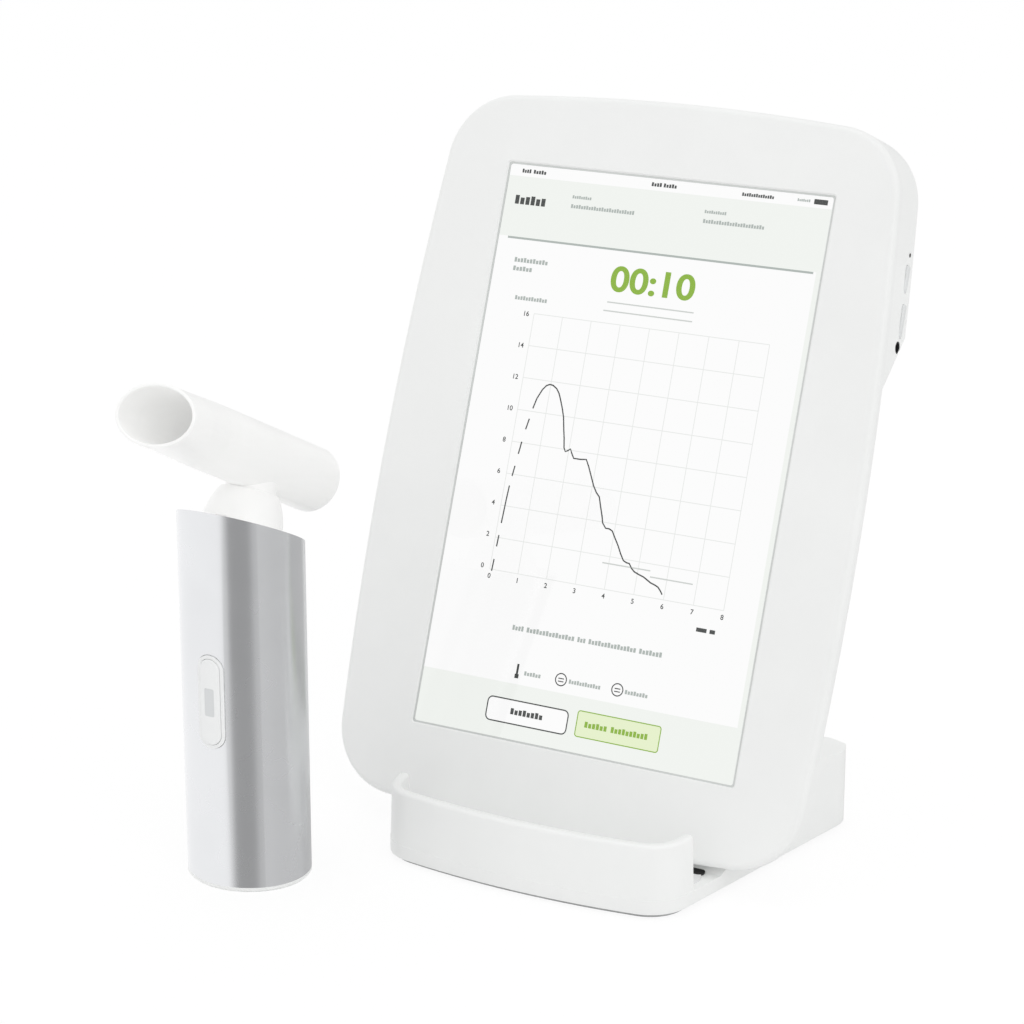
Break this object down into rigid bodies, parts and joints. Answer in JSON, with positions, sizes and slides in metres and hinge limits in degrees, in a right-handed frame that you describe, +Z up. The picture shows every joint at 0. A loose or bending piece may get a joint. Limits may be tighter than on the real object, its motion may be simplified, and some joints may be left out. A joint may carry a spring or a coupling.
{
  "type": "spirometer",
  "caption": "Desktop spirometer: touch tablet leaning in a charging cradle, with an oval handheld flow sensor that carries a slanted breathing tube with an oval mouth end.",
  "frame": {"origin": "on the desk, under the middle of the cradle's footprint", "axes": "-Y faces the user, +X to the user's right, +Z up; the tablet leans back about X and the handset stands upright at -X"},
  "size_m": [0.2161, 0.2318, 0.2685],
  "materials": {
    "white_shell": "satin",
    "white_head": "satin",
    "white_tube": "satin",
    "grey_plastic": "matte",
    "black_plastic": "matte",
    "key_grey": "satin",
    "black_rubber": "matte",
    "screen_glass": "polished",
    "display": "lit screen",
    "satin_aluminium": "fine blasted and anodised",
    "sheet_aluminium": "rolled sheet",
    "steel": "plated",
    "brass": "plated",
    "circuit_board": "solder mask"
  },
  "bodies": {
    "cradle": {"cradle_shell": "white_shell", "base_plate": "grey_plastic", "ballast_plate": "steel", "desk_sole": "black_rubber", "trough_mat": "black_rubber", "rest_pads": "black_rubber", "dock_connector": "black_plastic", "dock_pins": "brass", "charger_board": "circuit_board", "power_inlet": "black_plastic", "base_screws": "steel"},
    "tablet": {"front_bezel": "white_shell", "screen_gasket": "black_rubber", "screen_glass": "screen_glass", "display_panel": "display", "chassis_plate": "sheet_aluminium", "battery_pack": "grey_plastic", "main_board": "circuit_board", "loudspeaker": "black_plastic", "rear_shell": "white_shell", "contact_strip": "brass", "side_key_board": "circuit_board", "audio_socket": "black_plastic", "rear_screws": "steel"},
    "power_key_cap": {"power_key": "key_grey"},
    "volume_key_cap": {"volume_key": "key_grey"},
    "handset": {"handset_sleeve": "satin_aluminium", "bottom_cap": "white_shell", "cap_screws": "steel", "sensor_head": "white_head", "inner_frame": "grey_plastic", "handset_board": "circuit_board", "handset_battery": "grey_plastic", "pressure_sensor": "black_plastic", "port_seals": "black_rubber", "button_switch": "black_plastic", "button_surround": "key_grey"},
    "start_button_cap": {"start_button": "key_grey"},
    "tube": {"breathing_tube": "white_tube", "flow_screen": "steel"}
  },
  "joints": [
    {"name": "tablet_lift", "type": "slide", "parent": "cradle", "child": "tablet", "axis": [0, 0.3469, 0.9379], "range_m": [0, 0.06]},
    {"name": "power_key_press", "type": "slide", "parent": "tablet", "child": "power_key_cap", "axis": [-1, 0, 0], "range_m": [0, 0.0004], "stiffness_N_per_m": 600},
    {"name": "volume_key_press", "type": "slide", "parent": "tablet", "child": "volume_key_cap", "axis": [-1, 0, 0], "range_m": [0, 0.0004], "stiffness_N_per_m": 600},
    {"name": "handset_lift", "type": "slide", "parent": "cradle", "child": "handset", "axis": [0, 0, 1], "range_m": [0, 0.12]},
    {"name": "start_button_press", "type": "slide", "parent": "handset", "child": "start_button_cap", "axis": [0, 1, 0], "range_m": [0, 0.0006], "stiffness_N_per_m": 500},
    {"name": "tube_pull", "type": "slide", "parent": "handset", "child": "tube", "axis": [0, 0.4462, 0.8949], "range_m": [0, 0.03]}
  ]
}
